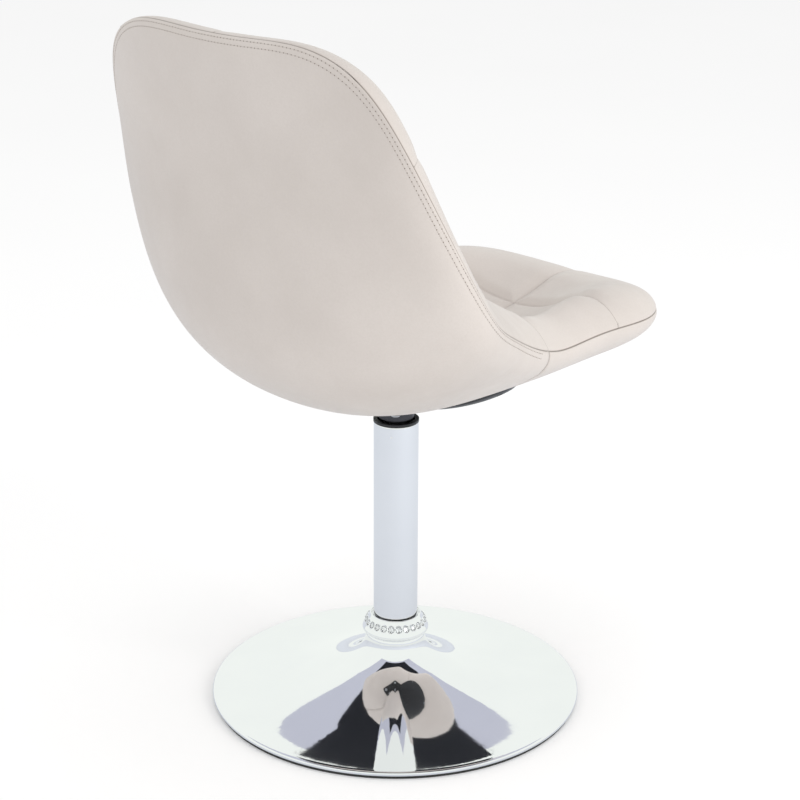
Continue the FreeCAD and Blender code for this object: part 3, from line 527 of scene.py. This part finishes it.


def seam_pull(points, x, y):
    """The points drawn in at the side seam, and their distance to it: the leather sinks by a
    falling exponential of that distance, towards the inside of the seam surface."""
    r = np.maximum(np.hypot(x, y), 1e-6)
    edge = middle(*shares(x / r, y / r))
    inside = middle(*shares(x / r * 0.97, y / r * 0.97)) - edge
    inside /= np.linalg.norm(inside, axis=-1, keepdims=True)
    away = np.linalg.norm(points - edge, axis=-1)
    pulled = points + inside * (seam_sink * np.exp(-away / seam_reach))[..., None]
    return pulled, away


front, front_away = seam_pull(sitter_face(x_grid, y_grid), x_grid, y_grid)
count_p, count_q = x_grid.shape
index = np.arange(count_p * count_q).reshape(count_p, count_q)
rim_loop = np.concatenate([index[:-1, 0], index[-1, :-1], index[:0:-1, -1], index[0, :0:-1]])
rim_p, rim_q = p_grid.ravel()[rim_loop], q_grid.ravel()[rim_loop]
rings = []
for share in ring_shares:
    px, py = on_disc(rim_p * share, rim_q * share)
    rings.append(middle(*shares(px, py)))
inner_rings = np.array(rings)
centre_point = inner_rings[-1].mean(0)[None]
pad_points = np.concatenate([front.reshape(-1, 3), inner_rings.reshape(-1, 3), centre_point])
first_ring = count_p * count_q
loop_length = len(rim_loop)
ring_index = np.arange(first_ring, len(pad_points) - 1).reshape(len(ring_shares), -1)
ring_rows = np.concatenate([rim_loop[None], ring_index])
here, after = ring_rows, np.roll(ring_rows, -1, axis=1)
ring_faces = np.stack([here[:-1], after[:-1], after[1:], here[1:]], -1).reshape(-1, 4)
fan = np.stack([here[-1], after[-1], np.full(loop_length, len(pad_points) - 1)], -1)
pad_faces = [grid_faces(count_p, count_q)[:, ::-1], ring_faces, fan]
unseen = np.full(len(pad_points) - first_ring, far_mm)
away_all = np.concatenate([front_away.ravel(), unseen])
side_mm, cross_mm = crease_distance(*shares(x_grid, y_grid))
crease_mm = np.minimum(side_mm, cross_mm).ravel()
crease_all = np.concatenate([crease_mm, unseen])
# Painted shade in the creases as well: the crease distance, stretched by 1.6, joins the seam
# distance, so the leather darkens along every crease.
seam_all = np.minimum(away_all, crease_all * 1.6 + 0.25)
quilt = make_piece("quilted_front", pad_points, pad_faces, leather, "seat", {"seam_mm": seam_all})
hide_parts("quilted_cover", "seat_foam", "back_foam")
print("quilted front:", len(pad_points), "points,", sum(len(f) for f in pad_faces), "faces")

# %% [markdown]
# ## Back cover and underside panel
# Behind and below, the same leather is stretched smooth over wadding. It is cut in two: a large
# panel for the back that wraps under the seat, and a panel below the thighs. They are thin closed
# shells, so the grid gets its thickness from a Solidify modifier that grows inwards.

# %% Two smooth panels
cross_sink = 1.3


def panel_rows(start, side, split, count):
    """Rows from the cross seam to the top (side 1) or to the front edge (side -1): even up to
    the split, and like a sine over the rounded rim."""
    t = np.linspace(0, 1, count)
    rim = even_reach + bent_reach * np.sin(rim_part(t, split) * np.pi / 2)
    return np.where(t < split, start[:, None] + (side * even_reach - start[:, None]) * (t / split),
                    side * rim)


def panel(name, rows, nodes):
    """A leather panel on the rear face: p runs across, rows are its q for each column; its edge at
    the cross seam sinks in like the side seam."""
    p = np.repeat(columns[::2][:, None], rows.shape[1], 1)
    x, y = on_disc(p, rows)
    points, away = seam_pull(rear_face(x, y), x, y)
    across, along = shares(x, y)
    line = crease_share[1] + crease_bow[1] * across ** 2
    to_line = np.abs(along - line) * middle_length
    points = points + facing(across, along) * (cross_sink * np.exp(-to_line))[..., None]
    # Painted shade along the side seam and the cross seam: this distance darkens the leather there.
    seam = np.minimum(away, to_line + 0.3)
    piece = make_piece(name, points.reshape(-1, 3), [grid_faces(*rows.shape)], leather, "seat",
                       {"seam_mm": seam})
    wall = piece.modifiers.new("leather thickness", "SOLIDIFY")
    wall.thickness, wall.offset = 0.0012, -1.0
    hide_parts(*nodes)


cross_seam = crease_q[1][::2]
panel("back_leather", panel_rows(cross_seam, 1, 0.72, 171), ["back_cover", "wadding"])
panel("under_leather", panel_rows(cross_seam, -1, 0.5, 91)[:, ::-1], ["under_panel"])

# %% [markdown]
# ## Topstitching
# Two rows of thread run along the edge of the back cover, five and ten millimetres inside the seam.
# A stitch is a small rounded bar, sunk a little, and at each end sits a flat dark bead, the painted
# shade of a needle hole. Hundreds are made at once: one template is turned and moved by whole
# arrays of centres and directions.

# %% Sew two rows of stitches
row_insets, stitch_step = (5.0, 10.3), 4.7
stitch_size, hole_size = (3.3, 0.8, 0.6), (1.3, 1.2, 0.26)  # length, width and height


def bead(length, width, height, sides=6, rings=5):
    """A rounded bar: an ellipsoid from two angles, with a point at both poles."""
    polar = np.linspace(0, np.pi, rings + 2)[1:-1]
    turn = np.arange(sides) * 2 * np.pi / sides
    a, b = np.meshgrid(polar, turn, indexing="ij")
    body_points = np.stack([-np.cos(a) * length / 2, np.sin(a) * np.cos(b) * width / 2,
                            np.sin(a) * np.sin(b) * height / 2], -1).reshape(-1, 3)
    ends = np.array([[-length / 2, 0, 0], [length / 2, 0, 0]])
    body_faces = grid_faces(rings, sides, wrap_columns=True)
    first, last = rings * sides, rings * sides + 1
    around = np.arange(sides)
    beside = (around + 1) % sides
    low = np.stack([np.full(sides, first), beside, around], -1)
    high = np.stack([np.full(sides, last), around + (rings - 1) * sides,
                     beside + (rings - 1) * sides], -1)
    return np.concatenate([body_points, ends]), [body_faces, low, high]


def scatter(template, centres, forward, outward):
    """Copies of a template: its x axis along forward, its z axis along outward."""
    points, faces = template
    beside = np.cross(outward, forward)
    placed = (centres[:, None] + points[None, :, :1] * forward[:, None]
              + points[None, :, 1:2] * beside[:, None] + points[None, :, 2:] * outward[:, None])
    step = np.arange(len(centres)) * len(points)
    return placed.reshape(-1, 3), [(f[None] + step[:, None, None]).reshape(-1, f.shape[1])
                                   for f in faces]


def stitch_line(inset, pitch):
    """Places of the stitches on a line at a distance inside the side seam: for each direction on
    the disc, the radius at which the length along the rear face from the seam equals the inset."""
    angle = np.linspace(-np.pi / 2, 1.5 * np.pi, 5001)
    across, along = shares(np.cos(angle), np.sin(angle))
    angle = angle[along > crease_share[1]]
    radius = 1 - 0.14 * np.linspace(0, 1, 160) ** 2
    x, y = radius * np.cos(angle)[:, None], radius * np.sin(angle)[:, None]
    face, _ = seam_pull(rear_face(x, y), x, y)
    run = np.concatenate([np.zeros((len(angle), 1)),
                          np.cumsum(np.linalg.norm(np.diff(face, axis=1), axis=-1), 1)], 1)
    beyond = np.clip((run < inset).sum(1), 1, len(radius) - 1)
    each = np.arange(len(angle))
    part = (inset - run[each, beyond - 1]) / (run[each, beyond] - run[each, beyond - 1])
    line = face[each, beyond - 1] + (face[each, beyond] - face[each, beyond - 1]) * part[:, None]
    inward = face[each, beyond] - face[each, beyond - 1]
    length = np.concatenate([[0], np.cumsum(np.linalg.norm(np.diff(line, axis=0), axis=1))])
    spots = np.arange(4.0, length[-1] - 4.0, pitch)
    centres = np.stack([np.interp(spots, length, line[:, k]) for k in range(3)], -1)
    ahead = np.stack([np.interp(spots + 0.5, length, line[:, k]) for k in range(3)], -1)
    forward = (ahead - centres) / np.linalg.norm(ahead - centres, axis=1)[:, None]
    side = np.stack([np.interp(spots, length, inward[:, k]) for k in range(3)], -1)
    outward = np.cross(side, forward)
    outward /= np.linalg.norm(outward, axis=1)[:, None]
    rear = np.stack([np.interp(spots, length, (-facing(*shares(x, y)))[each, beyond, k])
                     for k in range(3)], -1)
    outward *= np.sign((outward * rear).sum(1))[:, None]
    return centres, forward, outward


thread = grained_finish("greige_thread", (0.52, 0.47, 0.43), (0.62, 0.57, 0.53), 0.6, 1500.0,
                        0.0003)
# Painted shade of the needle holes: flat beads in a brown much darker than the leather.
painted_hole_shade = grained_finish("needle_hole_shade", (0.22, 0.18, 0.155), (0.28, 0.235, 0.20), 0.8, 900.0,
                             0.0001)
rows_sewn = [stitch_line(inset, stitch_step) for inset in row_insets]
centres, forward, outward = (np.concatenate([row[k] for row in rows_sewn]) for k in range(3))
thread_points, thread_faces = scatter(bead(*stitch_size), centres, forward, outward)
stitches = make_piece("back_stitches", thread_points, thread_faces, thread, "seat")
# The dark beads of painted hole shade sit between the stitches, where the needle holes are.
hole_centres = centres + forward * (stitch_step / 2) + outward * 0.02
hole_points, hole_faces = scatter(bead(*hole_size, rings=3), hole_centres, forward, outward)
holes = make_piece("needle_hole_shade", hole_points, hole_faces, painted_hole_shade, "seat")
print("stitches:", len(centres))

# %% [markdown]
# ## Chromed foot, column and collar
# The foot is spun from sheet and the column is a tube, so both are profiles turned round the axis.
# The CAD's triangles would show as facets in a mirror, so the profiles are turned again here with
# far more steps. The dimples and the stone pockets are pushed in as functions of the place.

# %% Turn a profile round the axis


def turned(profile, turns):
    """Rows follow the profile of radius and height, columns go round by equal angles."""
    angle = np.arange(turns) * 2 * np.pi / turns
    return np.stack([profile[:, :1] * np.cos(angle), profile[:, :1] * np.sin(angle),
                     np.repeat(profile[:, 1:], turns, 1)], -1)


def softened(corners, radius, steps=5):
    """A closed outline whose corners are cut by small curves: each corner is the middle control
    point of a quadratic curve that starts and ends a radius away from it."""
    here = np.asarray(corners, float)
    before, after = np.roll(here, 1, 0) - here, np.roll(here, -1, 0) - here
    reach = [np.minimum(radius, np.linalg.norm(v, axis=1) * 0.45)[:, None] for v in (before, after)]
    start = here + before / np.linalg.norm(before, axis=1)[:, None] * reach[0]
    end = here + after / np.linalg.norm(after, axis=1)[:, None] * reach[1]
    s = np.linspace(0, 1, steps)[None, :, None]
    curve = start[:, None] * (1 - s) ** 2 + 2 * here[:, None] * s * (1 - s) + end[:, None] * s ** 2
    return curve.reshape(-1, 2)


def finer(outline, step):
    """Points no further apart than a step along a closed outline."""
    closed = np.vstack([outline, outline[:1]])
    length = np.linalg.norm(np.diff(closed, axis=0), axis=1)
    keep = [np.linspace(0, 1, max(1, math.ceil(d / step)), endpoint=False)[:, None] for d in length]
    return np.vstack([a + (b - a) * k for a, b, k in zip(closed[:-1], closed[1:], keep)])


foot, bead_radius, rise, neck, sheet_wall = 208.0, 2.8, 63.0, 34.0, 1.5
lift, hem, neck_length = 3.0, 6, 5
rim_top = lift + 2 * bead_radius
neck_top = rim_top + rise + neck_length
bead_angle = np.radians(np.linspace(-90, 90, 19))
curl = np.stack([foot + bead_radius * np.cos(bead_angle),
                 lift + bead_radius + bead_radius * np.sin(bead_angle)], -1)
sweep = np.radians(np.linspace(0, 90, 91))[1:]
flare = np.stack([neck + (foot - neck) * (1 - np.sin(sweep)), rim_top + rise * (1 - np.cos(sweep))],
                 -1)
outer = np.vstack([[[foot - hem, lift]], curl, flare, [[neck, neck_top]]])
slope = np.gradient(outer, axis=0)
slope /= np.linalg.norm(slope, axis=1)[:, None]
inner = outer + np.stack([-slope[:, 1], slope[:, 0]], -1) * sheet_wall
inner[0] = (foot - hem, lift + sheet_wall)
inner[-1] = (neck - sheet_wall, neck_top)
foot_points = turned(np.vstack([outer, inner[::-1]]), 360)
foot_piece = make_piece("chrome_foot", foot_points.reshape(-1, 3),
                        [grid_faces(*foot_points.shape[:2], wrap_rows=True, wrap_columns=True)],
                        chrome, "base")
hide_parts("trumpet_base")
print("foot profile points:", len(outer), "neck top at", round(neck_top, 1))

# %% [markdown]
# ## Column
# Three small triangular marks near the top hold the bushing in the tube. A triangle is the
# largest of three slopes, so each mark pushes the wall in where that value is small. The rows
# are close together there, because the marks need points to bend.

# %% Column with staking marks
tube_low, tube_high, tube_radius = 24.0, 331.0, 25.0
mark_height, mark_depth, mark_angles = 320, 0.8, (244.0, 4.0, 124.0)
fine_rows = np.concatenate([[tube_low, 24.6], np.linspace(40, 316, 24),
                            np.linspace(316.4, 324, 26), [328.0, 330.4, tube_high]])
wall_outer = np.stack([np.full_like(fine_rows, tube_radius), fine_rows], -1)
wall_outer[[0, -1], 0] = 24.6
wall_inner = np.array([[23.7, tube_high], [23.5, 330.6], [23.5, tube_low]])
tube = turned(np.vstack([wall_outer, wall_inner]), 480)
angle = np.arctan2(tube[..., 1], tube[..., 0])
radius = np.hypot(tube[..., 0], tube[..., 1])
for spot in np.radians(mark_angles):
    arc = np.angle(np.exp(1j * (angle - spot))) * tube_radius
    up = tube[..., 2] - mark_height
    reach = np.maximum(-up, np.maximum(0.866 * arc + 0.5 * up, -0.866 * arc + 0.5 * up))
    sink = mark_depth * np.clip(1 - (reach + 0.5) / 1.5, 0, 1) ** 0.7 * (radius > 24)
    tube[..., :2] *= (1 - sink / radius)[..., None]
column = make_piece("chrome_column", tube.reshape(-1, 3),
                    [grid_faces(*tube.shape[:2], wrap_rows=True, wrap_columns=True)],
                    chrome, "base")
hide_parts("column_tube")
print("column", tube.shape[:2])

# %% [markdown]
# ## Collar
# The collar is turned from an outline with a sloping side, a cone. For each point of the cone
# the distance to the middle of the nearest stone says whether it sinks into a pocket or rises
# to the small lip that holds the stone.

# %% Collar with pockets for the stones
bore, collar_top, wide, narrow, stone_count = 25.05, neck_top + 22, 37.7, 28.8, 24
pocket_radius, pocket_depth, lip_radius, lip_height = 3.75, 1.5, 4.05, 0.35
corners = [(bore, neck_top), (35.2, neck_top), (wide, neck_top + 2.5), (wide, neck_top + 5.0),
           (narrow, collar_top), (27.4, collar_top), (27.4, collar_top - 4),
           (bore, collar_top - 4)]
outline = finer(softened(corners, 0.5), 0.45)
ring = turned(outline, 480)
cone = np.array([narrow - wide, collar_top - (neck_top + 5)])
cone /= np.linalg.norm(cone)
cone_out = np.array([cone[1], -cone[0]])
cone_middle = np.array([(wide + narrow) / 2, (collar_top + neck_top + 5) / 2])
radius = np.hypot(ring[..., 0], ring[..., 1])
offset = np.stack([radius, ring[..., 2]], -1) - cone_middle
along_cone, off_cone = offset @ cone, offset @ cone_out
turn = np.arctan2(ring[..., 1], ring[..., 0])
stone_step = np.radians(360 / stone_count)
first_stone = stone_step / 2
arc = ((turn - first_stone + stone_step / 2) % stone_step - stone_step / 2) * radius
reach = np.hypot(arc, along_cone)
on_cone = (np.abs(off_cone) < 0.3) & (radius > 28)
pocket = pocket_depth * np.clip((pocket_radius - reach) / 0.4, 0, 1)
lip = lip_height * np.exp(-((reach - lip_radius) / 0.3) ** 2)
push = np.where(on_cone, lip - pocket, 0.0)
ring[..., 0] += cone_out[0] * push * ring[..., 0] / radius
ring[..., 1] += cone_out[0] * push * ring[..., 1] / radius
ring[..., 2] += cone_out[1] * push
collar = make_piece("stone_collar", ring.reshape(-1, 3),
                    [grid_faces(*ring.shape[:2], wrap_rows=True, wrap_columns=True)],
                    chrome, "base")
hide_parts("crystal_collar")
print("collar", ring.shape[:2], "with", stone_count, "pockets")

# %% [markdown]
# ## Studio
# The photograph has a white ground without a horizon, so the floor runs far out under a world
# that is white to the camera. Chrome mirrors what hangs over it: a dark ceiling makes the black
# shape on the foot, and a lilac-grey one round it makes the grey flanks. Floor and ceilings are
# stage pieces, which aren't part of the chair.

# %% Floor, panels, lights


def flat_finish(name, colour, rough, glow=0.0):
    """A plain stage paint with a little unevenness, and a glow of its own if wanted."""
    finish, tree, shader = new_finish(name)
    patches = noise(tree, 1.5, 2.0)
    low = tuple(c * 0.98 for c in colour)
    tree.links.new(blend_colours(tree, patches.outputs["Fac"], (*low, 1), (*colour, 1)),
                   shader.inputs["Base Color"])
    shader.inputs["Roughness"].default_value = rough
    shader.inputs["Emission Color"].default_value = (*colour, 1)
    shader.inputs["Emission Strength"].default_value = glow
    return finish


def stage_panel(name, corners, finish):
    """A flat stage piece from its corners, in metres."""
    mesh = bpy.data.meshes.new(name)
    mesh.from_pydata([tuple(corner) for corner in corners], [], [tuple(range(len(corners)))])
    mesh.materials.append(finish)
    made = bpy.data.objects.new(name, mesh)
    bpy.context.scene.collection.objects.link(made)
    return made


floor_reach, floor_level = 12.0, -0.0003
paper = flat_finish("white_floor", (0.93, 0.93, 0.93), 0.7, 0.09)
# Painted reflection: mirrors see the floor in a darker blue-grey than the camera does, which sets
# how bright the chrome looks.
rays = node(paper.node_tree, "ShaderNodeLightPath")
paper_shader = paper.node_tree.nodes["Principled BSDF"]
paper_shader.inputs["Specular IOR Level"].default_value = 0.0
paper_tone = paper_shader.inputs["Base Color"].links[0].from_socket
paper.node_tree.links.new(blend_colours(paper.node_tree, rays.outputs["Is Glossy Ray"], paper_tone,
                                        (0.66, 0.70, 0.755, 1)), paper_shader.inputs["Base Color"])
stage_panel("studio_floor", [(x * floor_reach, y * floor_reach, floor_level)
                             for x, y in ((-1, -1), (1, -1), (1, 1), (-1, 1))], paper)
view_angle = math.radians(225.8)
towards = np.array([math.sin(view_angle), -math.cos(view_angle), 0.0])
beside = np.array([math.cos(view_angle), math.sin(view_angle), 0.0])


def ceiling_panel(name, level, corners, finish):
    """A panel overhead that only mirrors show. A corner is its distance towards the camera and
    its distance sideways; the panel is wide above the chair and narrow far from the camera."""
    made = stage_panel(name, [towards * t + beside * b + np.array([0, 0, level])
                              for t, b in corners], finish)
    made.visible_diffuse = False
    made.visible_shadow = False


dark = flat_finish("dark_panel", (0.006, 0.007, 0.012), 0.9)
lilac = flat_finish("lilac_panel", (0.30, 0.31, 0.36), 0.9, 0.9)
ceiling_panel("dark_ceiling", 3.0, [(2.2, -1.5), (2.2, 1.5), (0.0, 1.7), (-1.5, 1.15), (-3.0, 0.62),
                                    (-4.9, 0.42), (-4.9, -0.42), (-3.0, -0.55), (-1.5, -1.0),
                                    (0.0, -1.5)], dark)
ceiling_panel("grey_ceiling", 3.1, [(2.6, -3.0), (2.6, 3.0), (-1.5, 2.3), (-3.2, 1.5), (-4.6, 0.7),
                                    (-4.6, -0.7), (-3.2, -1.5), (-1.5, -2.3)], lilac)

world = bpy.data.worlds.new("studio")
world.use_nodes = True
bpy.context.scene.world = world
sky = world.node_tree
path = node(sky, "ShaderNodeLightPath")
seen = blend_colours(sky, path.outputs["Is Glossy Ray"], (0.90, 0.90, 0.90, 1),
                     (0.96, 1.0, 0.96, 1))
seen = blend_colours(sky, path.outputs["Is Camera Ray"], seen, (1.1, 1.1, 1.1, 1))
sky.links.new(seen, sky.nodes["Background"].inputs["Color"])


def soft_light(name, place, aim, width, power, tint=(1, 1, 1)):
    """A square area light that looks at a point; mirrors don't show it."""
    data = bpy.data.lights.new(name, "AREA")
    data.size, data.energy, data.color = width, power, tint
    lamp = bpy.data.objects.new(name, data)
    lamp.location = place
    lamp.visible_glossy = False
    lamp.rotation_euler = (Vector(aim) - Vector(place)).to_track_quat("-Z", "Y").to_euler()
    bpy.context.scene.collection.objects.link(lamp)


soft_light("top_box", (0.0, 0.2, 3.4), (0, 0, 0.4), 3.0, 12)
soft_light("right_box", tuple(towards * 1.6 + beside * 2.2 + np.array([0, 0, 1.3])), (0, 0, 0.5),
           1.6, 24, (1.0, 0.985, 0.96))
print("studio ready")

# %% [markdown]
# ## Camera
# The camera stands where the photograph was taken: behind the chair on the sitter's right, a
# little over the seat and looking down by 19.5 degrees. A long lens keeps the upright lines even.

# %% Camera
distance, height, pitch_down, roll = 2.1485, 1.1152, math.radians(19.49), math.radians(0.21)
photo_width, focal_pixels, centre_pixel = 800, 2064.6, 396.25
right = Vector(beside)
ahead_flat = Vector(-towards)
look = ahead_flat * math.cos(pitch_down) - Vector((0, 0, 1)) * math.sin(pitch_down)
upward = ahead_flat * math.sin(pitch_down) + Vector((0, 0, 1)) * math.cos(pitch_down)
right_rolled = right * math.cos(roll) + upward * math.sin(roll)
up_rolled = upward * math.cos(roll) - right * math.sin(roll)
lens = bpy.data.cameras.new("camera")
lens.sensor_width = 36.0
lens.lens = focal_pixels / photo_width * lens.sensor_width
lens.shift_x = (photo_width / 2 - centre_pixel) / photo_width
camera = bpy.data.objects.new("camera", lens)
camera.matrix_world = Matrix.Translation(Vector(towards) * distance + Vector((0, 0, height))) @ \
    Matrix((right_rolled, up_rolled, -look)).transposed().to_4x4()
bpy.context.scene.collection.objects.link(camera)
bpy.context.scene.camera = camera
bpy.context.scene.view_settings.view_transform = "Standard"
print("camera at", np.round(camera.matrix_world.translation, 3), "lens", round(lens.lens, 1))

# %% [markdown]
# ## Last update
# The view layer is updated once more.

# %% Update the view layer
bpy.context.view_layer.update()
